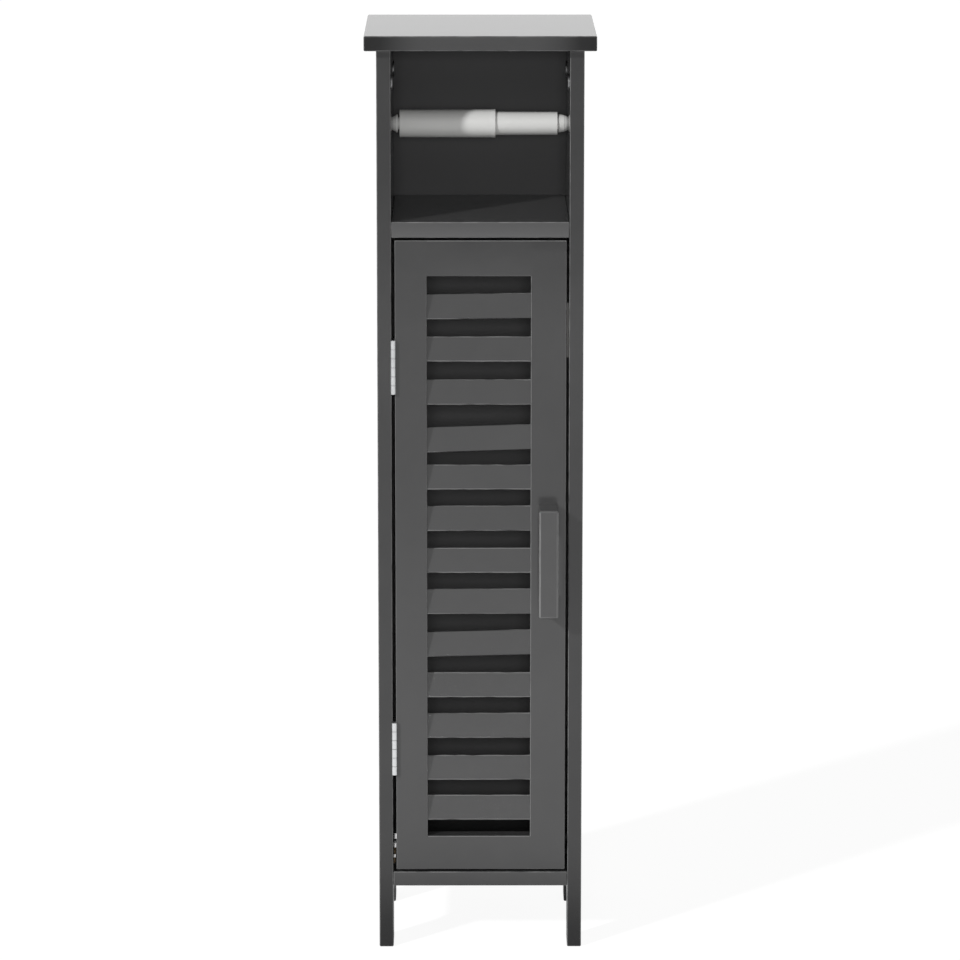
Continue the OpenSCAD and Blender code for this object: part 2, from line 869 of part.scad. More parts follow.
// The wide tube is drawn pointing right and mirrored to the left side
module spindle_wide_tube() {
    bore = wide_r - wide_wall;
    mouth = narrow_r + slide_fit;
    color(white) at_spindle() mirror([1, 0, 0]) rotate([0, 90, 0]) rotate_extrude() polygon(concat(
        nub_outline(wide_collar_r, wide_collar_r, wide_collar_len, -wide_x0),
        [[wide_r, -wide_x0], [wide_r, -wide_x1], [mouth, -wide_x1], [mouth, mouth_len - wide_x1],
         [bore, mouth_len - wide_x1], [bore, -wide_x0 - end_wall], [0, -wide_x0 - end_wall]]
    ));
}

module spindle_narrow_tube() {
    bore = narrow_r - narrow_wall;
    color(white) at_spindle() rotate([0, 90, 0]) rotate_extrude() polygon(concat(
        nub_outline(narrow_collar_tip_r, narrow_collar_r, narrow_collar_len, narrow_x1),
        [[narrow_r, narrow_x1], [narrow_r, narrow_x0 + bead_len], [bead_r, narrow_x0 + bead_len],
         [bead_r, narrow_x0], [bore, narrow_x0], [bore, narrow_x1 - end_wall], [0, narrow_x1 - end_wall]]
    ));
}

// Ring n of the spring's wire: points round the wire's centre line
function spring_ring(n) =
    let (angle = 360 * n / rings_per_turn,
         climb = (spring_x1 - spring_x0) / (spring_turns * rings_per_turn),
         out = [0, cos(angle), sin(angle)],
         centre = [spring_x0 + climb * n, 0, 0] + spring_r * out,
         along = [climb * rings_per_turn, -2 * PI * spring_r * sin(angle), 2 * PI * spring_r * cos(angle)],
         side = cross(along / norm(along), out))
    [for (k = [0:wire_sides - 1])
        centre + wire_r * (cos(360 * k / wire_sides) * out + sin(360 * k / wire_sides) * side)];

spring_rings = spring_turns * rings_per_turn;

// Least gap between one turn of the spring and the next
spring_gap = min([for (a = spring_ring(0), n = [rings_per_turn - 2:rings_per_turn + 2], b = spring_ring(n))
                  norm(a - b)]);

module spindle_spring() {
    echo(spring_gap = spring_gap);
    points = [for (n = [0:spring_rings], p = spring_ring(n)) p];
    last = spring_rings * wire_sides;
    walls = [for (n = [0:spring_rings - 1], k = [0:wire_sides - 1])
        let (a = n * wire_sides + k, b = n * wire_sides + (k + 1) % wire_sides)
        each [[a, a + wire_sides, b], [b, a + wire_sides, b + wire_sides]]];
    caps = [for (k = [1:wire_sides - 2]) each [[0, k, k + 1], [last, last + k + 1, last + k]]];
    color(steel) at_spindle() polyhedron(points = points, faces = concat(walls, caps));
}

// ---- Assembly ----

top_board();
left_side_panel();
right_side_panel();
shelf_board();
base_board();
back_panel();
back_panel_nails();
cam_locks();
cam_bolts();
case_dowels();
door_hinge_stile();
door_handle_stile();
door_top_rail();
door_bottom_rail();
door_dowels();
door_handle();
handle_screws();
upper_hinge_frame_leaf();
upper_hinge_door_leaf();
upper_hinge_pin();
lower_hinge_frame_leaf();
lower_hinge_door_leaf();
lower_hinge_pin();
hinge_frame_screws();
hinge_door_screws();
catch_housing();
catch_magnet();
catch_pole_plates();
catch_screws();
strike_plate();
strike_screws();
spindle_wide_tube();
spindle_narrow_tube();
spindle_spring();
for (i = [1:louvre_count]) louvre(i);
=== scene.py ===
"""Toilet roll storage cabinet: an open roll niche over a louvred door, painted satin dark grey."""

import math

import bmesh
import bpy
from mathutils import Matrix, Vector, noise


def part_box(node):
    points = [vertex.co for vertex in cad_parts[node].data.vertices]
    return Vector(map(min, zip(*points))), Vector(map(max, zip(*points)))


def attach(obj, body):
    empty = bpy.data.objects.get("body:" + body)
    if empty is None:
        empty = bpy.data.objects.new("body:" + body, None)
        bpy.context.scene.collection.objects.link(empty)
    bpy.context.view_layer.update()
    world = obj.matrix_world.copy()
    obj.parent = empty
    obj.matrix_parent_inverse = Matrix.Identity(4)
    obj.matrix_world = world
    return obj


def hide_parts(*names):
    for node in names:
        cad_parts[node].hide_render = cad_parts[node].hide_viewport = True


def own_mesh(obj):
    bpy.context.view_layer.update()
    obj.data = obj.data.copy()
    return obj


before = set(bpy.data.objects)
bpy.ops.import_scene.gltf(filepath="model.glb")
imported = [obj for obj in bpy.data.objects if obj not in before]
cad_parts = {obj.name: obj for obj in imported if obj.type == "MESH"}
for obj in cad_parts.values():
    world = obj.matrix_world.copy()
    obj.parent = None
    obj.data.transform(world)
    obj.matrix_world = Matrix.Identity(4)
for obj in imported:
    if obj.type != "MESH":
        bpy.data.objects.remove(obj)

mm = 0.001
scene = bpy.context.scene
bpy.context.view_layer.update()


# ---- Camera ----
# It stands four metres in front, a little higher than the top board, and looks down by 11 degrees
# through a long lens.

looks_down = 11.22
looks_right = 0.171

camera = bpy.data.objects.new("camera", bpy.data.cameras.new("camera"))
camera.data.sensor_width = 36
camera.data.lens = 179.56
camera.location = (-0.012, -4.0063, 1.1875)
camera.rotation_euler = (math.radians(90 - looks_down), 0, math.radians(-looks_right))
scene.collection.objects.link(camera)
scene.camera = camera


# ---- Side panels ----
# Two 12 mm fibreboard sides that run down into the four legs. They are sawn out between the legs,
# rubbed a little round on every outer arris and rolled with satin dark grey paint.

touching = 0.01 * mm
weld = 0.001 * mm


def board_copy(node):
    """A CAD solid as one closed mesh: its loose triangles joined and its flat faces whole."""
    board = bmesh.new()
    board.from_mesh(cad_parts[node].data)
    bmesh.ops.remove_doubles(board, verts=board.verts, dist=weld)
    bmesh.ops.dissolve_limit(board, angle_limit=math.radians(1), verts=board.verts, edges=board.edges)
    board.verts.layers.float.new("arris")
    return board


def is_sharp(edge):
    return edge.calc_face_angle(0) > math.radians(30)


def outer_planes(corner, box):
    """Which of the six planes of the box a vertex lies on."""
    return {(axis, end) for axis in range(3) for end in range(2)
            if abs(corner.co[axis] - box[end][axis]) < touching}


def outline_edges(board, box):
    """The sharp edges along the board's outline, which leaves out the rims of its bores."""
    return [edge for edge in board.edges if is_sharp(edge)
            and len(outer_planes(edge.verts[0], box) & outer_planes(edge.verts[1], box)) > 1]


def ease(board, edges, radius, segments=3):
    """Rounds the edges and marks the middle of the rounding as arris, which the finishes read."""
    arris = board.verts.layers.float["arris"]
    made = bmesh.ops.bevel(board, geom=edges, offset=radius, offset_type="OFFSET", affect="EDGES",
                           segments=segments, profile=0.5, material=-1, clamp_overlap=True)
    rounded = set(made["faces"])
    for corner in made["verts"]:
        corner[arris] = float(all(face in rounded for face in corner.link_faces))


def saw_through(board, place, direction):
    """Cuts every face that crosses a plane, so that a mesh has corners there."""
    bmesh.ops.bisect_plane(board, geom=board.verts[:] + board.edges[:] + board.faces[:],
                           dist=weld, plane_co=place, plane_no=direction)


def cut_across(board, box, spacing):
    """Cuts a board into short lengths along its longest side."""
    size = box[1] - box[0]
    along = Vector([float(side == max(size)) for side in size])
    for step in range(1, math.ceil(max(size) / spacing)):
        saw_through(board, box[0] + along * spacing * step, along)


def rub(board, depth, length=22 * mm):
    """Lets the arrises wander inwards by up to depth, as sanding by hand leaves them."""
    arris = board.verts.layers.float["arris"]
    board.normal_update()
    for corner in board.verts:
        if corner[arris] > 0:
            wander = 0.5 + 0.5 * noise.noise(corner.co / length)
            corner.co -= corner.normal * depth * wander * corner[arris]


class Value:
    """A number that varies over a surface. Arithmetic on it adds Math nodes."""

    def __init__(self, graph, socket):
        self.graph = graph
        self.socket = socket

    def __add__(self, other):
        return self.graph.math("ADD", self, other)

    def __sub__(self, other):
        return self.graph.math("SUBTRACT", self, other)

    def __rsub__(self, other):
        return self.graph.math("SUBTRACT", other, self)

    def __mul__(self, other):
        return self.graph.math("MULTIPLY", self, other)

    def __pow__(self, other):
        return self.graph.math("POWER", self, other)

    __radd__ = __add__
    __rmul__ = __mul__

    def step(self, low, high):
        """0 below low, 1 above high and a smooth rise between."""
        return self.graph.node("ShaderNodeMapRange", {"interpolation_type": "SMOOTHSTEP"},
                               {0: self, 1: low, 2: high})


class Graph:
    """The node tree of a finish or of the room's light."""

    def __init__(self, owner):
        owner.use_nodes = True
        self.tree = owner.node_tree
        self.tree.nodes.clear()

    def node(self, kind, settings=None, sockets=None, output=0):
        """Adds a node: its settings first, then the values or links of its sockets."""
        made = self.tree.nodes.new(kind)
        for name, value in (settings or {}).items():
            setattr(made, name, value)
        for name, value in (sockets or {}).items():
            if isinstance(value, Value):
                self.tree.links.new(value.socket, made.inputs[name])
            else:
                made.inputs[name].default_value = value
        return Value(self, made.outputs[output])

    def close(self, kind, shader):
        """Ends the tree in its output node."""
        end = self.tree.nodes.new(kind)
        self.tree.links.new(shader.socket, end.inputs["Surface"])

    def math(self, operation, *values):
        return self.node("ShaderNodeMath", {"operation": operation}, dict(enumerate(values)))

    def noise(self, place, size, detail=2.0, roughness=0.5):
        """Soft noise from 0 to 1 whose lumps are about that size across, in metres."""
        return self.node("ShaderNodeTexNoise", {},
                         {"Vector": place, "Scale": 0.5 / size, "Detail": detail, "Roughness": roughness})

    def blend(self, share, first, second):
        """A colour between two: the first where share is 0 and the second where it is 1."""
        first, second = [colour if isinstance(colour, Value) else (*colour, 1)
                         for colour in (first, second)]
        return self.node("ShaderNodeMix", {"data_type": "RGBA"}, {0: share, 6: first, 7: second}, output=2)

    def bump(self, height):
        """A surface normal from a height in metres."""
        return self.node("ShaderNodeBump", {}, {"Strength": 1, "Distance": 1, "Height": height})


class Finish(Graph):
    """The material of a piece, with where on the piece it is in metres."""

    def __init__(self, name):
        self.material = bpy.data.materials.new(name)
        super().__init__(self.material)
        self.place = self.node("ShaderNodeTexCoord", output="Object")

    def coordinate(self, axis):
        return self.node("ShaderNodeSeparateXYZ", {}, {0: self.place}, output=axis)

    def marked(self, name):
        """A number that the mesh carries, such as its arris."""
        return self.node("ShaderNodeAttribute", {"attribute_name": name}, output="Fac")

    def surface(self, **sockets):
        """Closes the material with a Principled shader."""
        named = {name.replace("_", " "): value for name, value in sockets.items()}
        self.close("ShaderNodeOutputMaterial", self.node("ShaderNodeBsdfPrincipled", {}, named))
        return self.material


def satin_paint(name, painted_lightness=0.0, painted_light_below=0.0, painted_shade_at_ends_of=None, arris_wear_and_highlight=0.0, palest=0.06):
    """Rolled satin paint: slow clouds in its tone, orange peel and dust; arrises paler, partly worn thin
    and partly a painted highlight; painted shade at the feet and towards the ends of a board's front;
    painted light low down, painted shade where that share is negative.
    """
    paint = Finish(name)
    clouds = paint.noise(paint.place, 45 * mm, 3)
    roller = paint.noise(paint.place, 9 * mm, 2)
    peel = paint.noise(paint.place, 1.6 * mm, 1)
    dust = paint.noise(paint.place, 0.5 * mm, 1).step(0.62, 0.72)
    # The arrises are painted paler: partly paint worn thin, partly a painted highlight along the edges.
    worn_and_highlit_arris = paint.marked("arris") * paint.noise(paint.place, 6 * mm, 3).step(0.2 - arris_wear_and_highlight, 0.75 - arris_wear_and_highlight)
    # Painted shade at the feet: the paint gets darker towards the floor, where the light falls off.
    foot = 1 - paint.coordinate("Z").step(-10 * mm, 75 * mm)
    # Painted light over the lower part, by the given share; a negative share paints shade there.
    below = 1 - paint.coordinate("Z").step(180 * mm, 560 * mm)
    end_shade = 0
    # Painted shade on a board's front face towards its ends, with less coat there.
    if painted_shade_at_ends_of:
        front_left, rear_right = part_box(painted_shade_at_ends_of)
        in_front = 1 - paint.coordinate("Y").step(front_left.y + 0.2 * mm, front_left.y + 0.9 * mm)
        from_middle = paint.coordinate("X") ** 2
        end_shade = in_front * from_middle.step((35 * mm) ** 2, rear_right.x ** 2)
    # Each piece's paint is this one satin paint made lighter or darker by its own share: lit and shaded
    # copies of one paint.
    tone = (0.5 + painted_lightness + 0.4 * (clouds - 0.5) + 0.12 * (roller - 0.5)
            + painted_light_below * below - 0.3 * foot - end_shade)
    colour = paint.blend(tone, (0.012, 0.012, 0.0123), (palest, palest, palest * 1.01))
    height = 9e-6 * peel + 30e-6 * roller + 8e-6 * dust
    return paint.surface(Base_Color=paint.blend(0.85 * worn_and_highlit_arris, colour, (0.22, 0.22, 0.22)),
                         Roughness=0.5 + 0.1 * clouds, Specular_IOR_Level=0.05,
                         Coat_Weight=1 - 0.3 * worn_and_highlit_arris - 0.5 * end_shade, Coat_Roughness=0.13,
                         Normal=paint.bump(height))


def piece(name, mesh, node, body, material):
    """Finishes a mesh: smooth but for its sharp edges, on its body, in the place of its CAD node."""
    for edge in mesh.edges:
        edge.smooth = edge.calc_face_angle(0) < math.radians(38)
    for face in mesh.faces:
        face.smooth = True
    data = bpy.data.meshes.new(name)
    mesh.to_mesh(data)
    mesh.free()
    data.materials.append(material)
    made = bpy.data.objects.new(name, data)
    scene.collection.objects.link(made)
    made.modifiers.new("flat faces stay flat", "WEIGHTED_NORMAL").keep_sharp = True
    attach(made, body)
    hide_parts(node)
    return made


# The case's paint is a darker copy: painted shade, with more painted shade low down.
case_paint = satin_paint("case_paint", -0.2, painted_light_below=-0.1, arris_wear_and_highlight=0.1)
case_arris_r = 0.9 * mm
arch_top = 42 * mm

for node in ("left_side_panel", "right_side_panel"):
    panel = board_copy(node)
    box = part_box(node)
    arch = [edge for edge in panel.edges if is_sharp(edge)
            and all(corner.co.z < arch_top + touching for corner in edge.verts)]
    ease(panel, list(set(outline_edges(panel, box) + arch)), case_arris_r)
    cut_across(panel, box, 9 * mm)
    rub(panel, 0.25 * mm)
    piece(node + "_painted", panel, node, "cabinet", case_paint)


# ---- Top board, shelf and base ----
# Level boards of the same painted fibreboard. The top overhangs the sides and the front, the other
# two sit between the sides, and all three are pulled tight by cam locks.

# The boards' paints are lighter copies: painted light, most on the shelf; the top board's has painted shade
# towards the ends of its front.
board_paints = {"top_board": satin_paint("top_board_paint", 0.3, painted_shade_at_ends_of="top_board"),
                "shelf_board": satin_paint("shelf_paint", 0.5, palest=0.074),
                "base_board": satin_paint("base_paint", 0.25)}
short_arris = 14 * mm

for node, board_paint in board_paints.items():
    board = board_copy(node)
    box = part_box(node)
    ease(board, outline_edges(board, box), case_arris_r)
    cut_across(board, box, 5 * mm)
    rub(board, 0.3 * mm, short_arris)
    piece(node + "_painted", board, node, "cabinet", board_paint)


# ---- Back panel and its nails ----
# A 2.5 mm sheet of hardboard: dark grey foil on the face towards the room, bare brown fibre with
# its pressed screen pattern behind. Sixteen flat-headed nails hold it.

def foiled_hardboard():
    """Foil in front, with painted light on it below the shelf, and bare hardboard behind."""
    sheet = Finish("foiled_hardboard")
    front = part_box("back_panel")[0].y
    behind = sheet.coordinate("Y").step(front + 0.3 * mm, front + 0.6 * mm)
    fibre = sheet.noise(sheet.place, 0.9 * mm, 4, 0.7)
    clouds = sheet.noise(sheet.place, 60 * mm, 3)
    wire = 1.1 * mm
    screen = [sheet.math("SINE", sheet.coordinate(axis) * (2 * math.pi / wire)) for axis in ("X", "Z")]
    brown = sheet.blend((0.65 * fibre + 0.35 * clouds).step(0.25, 0.75),
                        (0.2, 0.125, 0.075), (0.5, 0.35, 0.22))
    # Painted light: the foil is lighter below the shelf, inside the closed cupboard.
    painted_light_below_shelf = 1 - sheet.coordinate("Z").step(560 * mm, 640 * mm)
    foil = sheet.blend(0.5 * clouds + 0.5 * painted_light_below_shelf, (0.066, 0.066, 0.067), (0.108, 0.108, 0.109))
    height = behind * (14e-6 * (screen[0] * screen[1]) + 30e-6 * fibre)
    return sheet.surface(Base_Color=sheet.blend(behind, foil, brown), Roughness=0.5 + 0.25 * behind,
                         Specular_IOR_Level=0.2, Normal=sheet.bump(height))


back = board_copy("back_panel")
ease(back, outline_edges(back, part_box("back_panel")), 0.3 * mm, 2)
piece("back_panel_foiled", back, "back_panel", "cabinet", foiled_hardboard())


def solids_of(node):
    """The lowest and highest corner of each separate solid in a CAD node."""
    joined = board_copy(node)
    left = set(joined.verts)
    boxes = []
    while left:
        group = {left.pop()}
        front = list(group)
        while front:
            corner = front.pop()
            near = {edge.other_vert(corner) for edge in corner.link_edges} - group
            group |= near
            front += near
        left -= group
        boxes.append([Vector([pick(corner.co[axis] for corner in group) for axis in range(3)])
                      for pick in (min, max)])
    joined.free()
    return sorted(boxes, key=lambda corners: tuple(corners[0]))


def turned(outline, steps=24):
    """A shape turned about Z from an outline of (radius, height), its ends closed on the axis."""
    shape = bmesh.new()
    shape.verts.layers.float.new("arris")
    corners = [shape.verts.new((radius, 0, height)) for radius, height in outline]
    line = [shape.edges.new(pair) for pair in zip(corners, corners[1:])]
    bmesh.ops.spin(shape, geom=corners + line, cent=(0, 0, 0), axis=(0, 0, 1), angle=2 * math.pi,
                   steps=steps, use_merge=True)
    bmesh.ops.remove_doubles(shape, verts=shape.verts, dist=weld)
    bmesh.ops.recalc_face_normals(shape, faces=shape.faces)
    return shape


def facing(direction, place, turn=0.0):
    """The matrix that sets a shape's Z axis along direction at a place, turned about itself."""
    aim = Vector(direction).to_track_quat("Z", "Y").to_matrix().to_4x4()
    return Matrix.Translation(place) @ aim @ Matrix.Rotation(turn, 4, "Z")


def only_verts(geometry):
    return [part for part in geometry if isinstance(part, bmesh.types.BMVert)]


def head_places(node, direction, turn=0.0):
    """Where each fastener of a CAD node has its head, each turned further than the one before."""
    places = []
    for number, (low, high) in enumerate(solids_of(node)):
        reach = abs((high - low).dot(direction)) / 2
        places.append(facing(direction, (low + high) / 2 + Vector(direction) * reach, number * turn))
    return places


def fastener_length(node):
    low, high = solids_of(node)[0]
    return max(high - low)


def at_each(shape, places):
    """The same shape at every place, as one mesh."""
    pattern = shape.verts[:] + shape.edges[:] + shape.faces[:]
    for place in places:
        copied = bmesh.ops.duplicate(shape, geom=pattern)["geom"]
        bmesh.ops.transform(shape, matrix=place, verts=only_verts(copied))
    bmesh.ops.delete(shape, geom=only_verts(pattern), context="VERTS")
    return shape


def zinc_plate(name, base, roughness=0.3):
    """Bright zinc: a fine crystal mottle, faint handling marks and painted shade on marked arrises, such as
    the splits between hinge knuckles.
    """
    plate = Finish(name)
    crystals = plate.noise(plate.place, 0.7 * mm, 3, 0.6)
    marks = plate.noise(plate.place, 5 * mm, 4, 0.6)
    tone = 0.5 * crystals + 0.5 * marks
    dull, bright = [(base * share, base * (share + 0.01), base * (share + 0.02)) for share in (0.8, 1.15)]
    # Marked arrises are painted dark: painted shade in the splits between parts.
    arris_shade = (base * 0.25, base * 0.25, base * 0.24)
    colour = plate.blend(plate.marked("arris"), plate.blend(tone, dull, bright), arris_shade)
    return plate.surface(Base_Color=colour, Metallic=1.0, Roughness=roughness - 0.1 + 0.25 * tone,
                         Normal=plate.bump(3e-6 * crystals))


zinc = zinc_plate("bright_zinc", 0.55)
nail_head_r = 1.6 * mm
nail_head_t = 0.5 * mm
nail_r = 0.6 * mm
nail_point_l = 1.5 * mm
nail_l = fastener_length("back_panel_nails")

nail = turned([(0, 0), (nail_head_r * 0.55, -0.03 * mm), (nail_head_r * 0.9, -0.12 * mm),
               (nail_head_r, -nail_head_t / 2), (nail_head_r, -nail_head_t), (nail_r, -nail_head_t),
               (nail_r, nail_point_l - nail_l), (0, -nail_l)], 16)
nails = at_each(nail, head_places("back_panel_nails", (0, 1, 0)))
piece("back_panel_nails_flat", nails, "back_panel_nails", "cabinet", zinc)


# ---- Cam locks, cam bolts and dowels ----
# Knock-down fittings. Each cast zinc cam turns in its bore with a cross slot for the driver and
# grips the head of a steel bolt; birch dowels beside the bolts keep the boards in line.

cams = board_copy("cam_locks")
ease(cams, [edge for edge in cams.edges if is_sharp(edge)], 0.25 * mm, 2)
piece("cam_locks_cast", cams, "cam_locks", "cabinet", zinc_plate("cast_zinc", 0.3, 0.45))


def turned_birch():
    """Turned birch: grain along the dowel, pale pores."""
    wood = Finish("birch")
    stretched = wood.node("ShaderNodeMapping", {}, {"Vector": wood.place, "Scale": (0.12, 1, 1)})
    grain = wood.noise(stretched, 0.6 * mm, 4, 0.65)
    colour = wood.blend(grain, (0.42, 0.29, 0.16), (0.72, 0.56, 0.36))
    return wood.surface(Base_Color=colour, Roughness=0.55 + 0.15 * grain, Normal=wood.bump(20e-6 * grain))


birch = turned_birch()
for node, material in (("cam_bolts", zinc), ("case_dowels", birch), ("door_dowels", birch)):
    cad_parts[node].material_slots[0].material = material


# ---- Door frame ----
# Two stiles and two rails, 15 mm thick, dowelled and glued flush and painted over, so that no seam
# shows on the face. The stiles are mortised for the slats; only the free arrises are rubbed round.

# The door's paint is a slightly darker copy with painted light over its lower part.
door_paint = satin_paint("door_paint", -0.08, painted_light_below=0.35, arris_wear_and_highlight=0.2)
door_arris_r = 0.8 * mm
window_x = (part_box("door_hinge_stile")[1].x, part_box("door_handle_stile")[0].x)
window_z = (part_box("door_bottom_rail")[1].z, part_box("door_top_rail")[0].z)

for node in ("door_hinge_stile", "door_handle_stile"):
    stile = board_copy(node)
    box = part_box(node)
    for height in window_z:
        saw_through(stile, (0, 0, height), (0, 0, 1))
    free = []
    for edge in outline_edges(stile, box):
        middle = (edge.verts[0].co + edge.verts[1].co) / 2
        at_window = min(abs(middle.x - side) for side in window_x) < touching
        if not at_window or window_z[0] < middle.z < window_z[1]:
            free.append(edge)
    ease(stile, free, door_arris_r)
    cut_across(stile, box, 9 * mm)
    rub(stile, 0.3 * mm)
    piece(node + "_painted", stile, node, "door", door_paint)

for node in ("door_top_rail", "door_bottom_rail"):
    rail = board_copy(node)
    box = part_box(node)
    lengthwise = [edge for edge in outline_edges(rail, box)
                  if abs(edge.verts[0].co.x - edge.verts[1].co.x) > touching]
    ease(rail, lengthwise, door_arris_r)
    cut_across(rail, box, 5 * mm)
    rub(rail, 0.3 * mm, short_arris)
    piece(node + "_painted", rail, node, "door", door_paint)


# ---- Louvre slats ----
# Thirteen 5 mm slats with rounded long edges, tilted with their lower edge forward and glued into
# mortises in the stiles. They were planed and painted by hand, so no edge runs quite straight.

slat_edge_r = 1.2 * mm
slat_wave = 0.7 * mm
slat_wave_l = 16 * mm
slat_straight_l = 8 * mm

for number in range(1, 14):
    node = "louvre_%02d" % number
    slat = board_copy(node)
    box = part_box(node)
    middle = (box[0] + box[1]) / 2
    flat = max(slat.faces, key=lambda face: face.calc_area()).normal.copy()
    across = flat.cross((1, 0, 0)).normalized()
    half_width = max((corner.co - middle).dot(across) for corner in slat.verts)
    cut_across(slat, box, 4 * mm)
    arris = slat.verts.layers.float["arris"]
    for corner in slat.verts:
        reach = (corner.co - middle).dot(across)
        beyond = abs(reach) - (half_width - slat_edge_r)
        if beyond > slat_edge_r / 4:
            side = math.copysign(1, reach)
            from_stiles = (corner.co.x - window_x[0]) * (window_x[1] - corner.co.x) / slat_straight_l ** 2
            wave = abs(noise.noise(Vector((corner.co.x / slat_wave_l, 3.7 * number, 5 * side))))
            # The rounded long edges are marked as arris, so the paint is paler along them: partly worn,
            # partly a painted highlight.
            corner[arris] = 1
            corner.co -= across * side * slat_wave * wave * min(1, max(0, from_stiles))
    piece(node + "_painted", slat, node, "door", door_paint)


# ---- Handle and its screws ----
# A bar handle cut from one painted block, with a finger gap sawn behind the grip. Its left arris
# is painted paler than its right arris and its top: a painted highlight. Two pan-head screws come
# through the handle stile from behind.

# The handle's paint is a lighter copy: painted light over the whole handle.
handle_paint = satin_paint("handle_paint", 0.4, arris_wear_and_highlight=0.2)
handle_arris_r = 2 * mm

handle = board_copy("door_handle")
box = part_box("door_handle")
ease(handle, [edge for edge in handle.edges if is_sharp(edge)
              and all(outer_planes(corner, box) for corner in edge.verts)
              and any(corner.co.y < box[1].y - touching for corner in edge.verts)], handle_arris_r, 5)
arris = handle.verts.layers.float["arris"]
# The right arris is painted less pale and the top least: the pale left arris is a painted highlight.
for corner in handle.verts:
    if corner.co.x > box[1].x - handle_arris_r:
        corner[arris] *= 0.6
    if corner.co.z > box[1].z - handle_arris_r:
        corner[arris] *= 0.2
cut_across(handle, box, 3 * mm)
rub(handle, 0.5 * mm, 9 * mm)
piece("door_handle_painted", handle, "door_handle", "door", handle_paint)


def cross_screw(head_r, head, shank_r, length):
    """A screw along Z with a driver's cross in its head, whose outline runs from the rim down."""
    top = head[0][1]
    screw = turned([*head, (shank_r, -length + 2 * shank_r), (0, -length)])
    rim = [edge for edge in screw.edges if edge.is_boundary]
    square = bmesh.ops.create_grid(screw, x_segments=1, y_segments=1, size=head_r * 0.14,
                                   matrix=Matrix.Translation((0, 0, top)))["verts"]
    for edge in {edge for corner in square for edge in corner.link_edges}:
        outwards = (edge.verts[0].co + edge.verts[1].co) / 2
        outwards.z = 0
        arm = bmesh.ops.extrude_edge_only(screw, edges=[edge])["geom"]
        bmesh.ops.translate(screw, vec=outwards * 2.8, verts=only_verts(arm))
    cross = [face for face in screw.faces
             if all(abs(v.co.z - top) < weld and v.co.xy.length < head_r * 0.7 for v in face.verts)]
    cross_rim = [edge for edge in screw.edges if edge.is_boundary and edge not in rim]
    bmesh.ops.bridge_loops(screw, edges=rim + cross_rim)
    floor = only_verts(bmesh.ops.extrude_face_region(screw, geom=cross)["geom"])
    bmesh.ops.delete(screw, geom=cross, context="FACES_ONLY")
    bmesh.ops.scale(screw, vec=(0.55, 0.55, 1), verts=floor)
    bmesh.ops.translate(screw, vec=(0, 0, -head_r * 0.55), verts=floor)
    bmesh.ops.recalc_face_normals(screw, faces=screw.faces)
    return screw


def countersunk(head_r, shank_r, length):
    """A flat head whose cone runs down to the shank."""
    rim = 0.1 * mm
    return cross_screw(head_r, [(head_r - rim, 0), (head_r, -rim), (shank_r, shank_r - head_r)],
                       shank_r, length)


def pan_headed(head_r, head_t, shank_r, length):
    """A round head with a domed top that stands head_t over the shank."""
    dome = [(head_r * math.sin(angle), head_t * (math.cos(angle) - 1))
            for angle in map(math.radians, (50, 65, 80, 90))]
    return cross_screw(head_r, dome + [(head_r, -head_t), (shank_r, -head_t)], shank_r, length)


golden_turn = math.radians(137.5)
handle_screw = pan_headed(4 * mm, 2.2 * mm, 2 * mm, fastener_length("handle_screws"))
handle_screws = at_each(handle_screw, head_places("handle_screws", (0, 1, 0), golden_turn))
piece("handle_screws_pan", handle_screws, "handle_screws", "door", zinc)


# ---- Hinges ----
# Two zinc-plated butt hinges in the gap at the left. Each leaf is a bent plate whose knuckles curl
# round a steel pin, held by two countersunk screws in the side panel and two in the door's edge.

barrel_r = 2.3 * mm
# The pins are dark steel, which also paints shade into the splits between the knuckles.
pin_steel = zinc_plate("pin_steel", 0.15, 0.35)

for hinge in ("upper_hinge", "lower_hinge"):
    pin_low, pin_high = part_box(hinge + "_pin")
    pin_middle = (pin_low + pin_high) / 2
    for leaf, body in (("frame_leaf", "cabinet"), ("door_leaf", "door")):
        node = hinge + "_" + leaf
        plate = board_copy(node)
        rims = [edge for edge in plate.edges if is_sharp(edge)
                and abs(edge.verts[0].co.z - edge.verts[1].co.z) < touching
                and all((corner.co - pin_middle).xy.length > barrel_r - 0.03 * mm for corner in edge.verts)
                and all(corner.co.y < pin_middle.y + barrel_r / 2 for corner in edge.verts)]
        ease(plate, rims, 0.4 * mm)
        piece(node + "_plated", plate, node, body, zinc)
    pin = board_copy(hinge + "_pin")
    ease(pin, [edge for edge in pin.edges if is_sharp(edge)], 0.3 * mm)
    piece(hinge + "_pin_turned", pin, hinge + "_pin", "cabinet", pin_steel)

for node, side, body in (("hinge_frame_screws", 1, "cabinet"), ("hinge_door_screws", -1, "door")):
    hinge_screw = countersunk(2.4 * mm, 1.2 * mm, fastener_length(node))
    hinge_screws = at_each(hinge_screw, head_places(node, (side, 0, 0), golden_turn))
    piece(node + "_countersunk", hinge_screws, node, body, zinc)


# ---- Magnetic catch and strike plate ----
# A moulded grey housing screwed to the right side panel through slotted lugs. It holds a ferrite
# magnet between two steel plates, which pull on a small steel plate on the back of the door.

def moulding(name, light, roughness):
    """Moulded plastic: a fine spark texture and faint flow clouds."""
    plastic = Finish(name)
    flow = plastic.noise(plastic.place, 18 * mm, 2)
    spark = plastic.noise(plastic.place, 0.35 * mm, 2)
    dark = tuple(channel * 0.93 for channel in light)
    return plastic.surface(Base_Color=plastic.blend(flow, dark, light), Roughness=roughness + 0.08 * spark,
                           Normal=plastic.bump(3e-6 * spark + 15e-6 * flow))


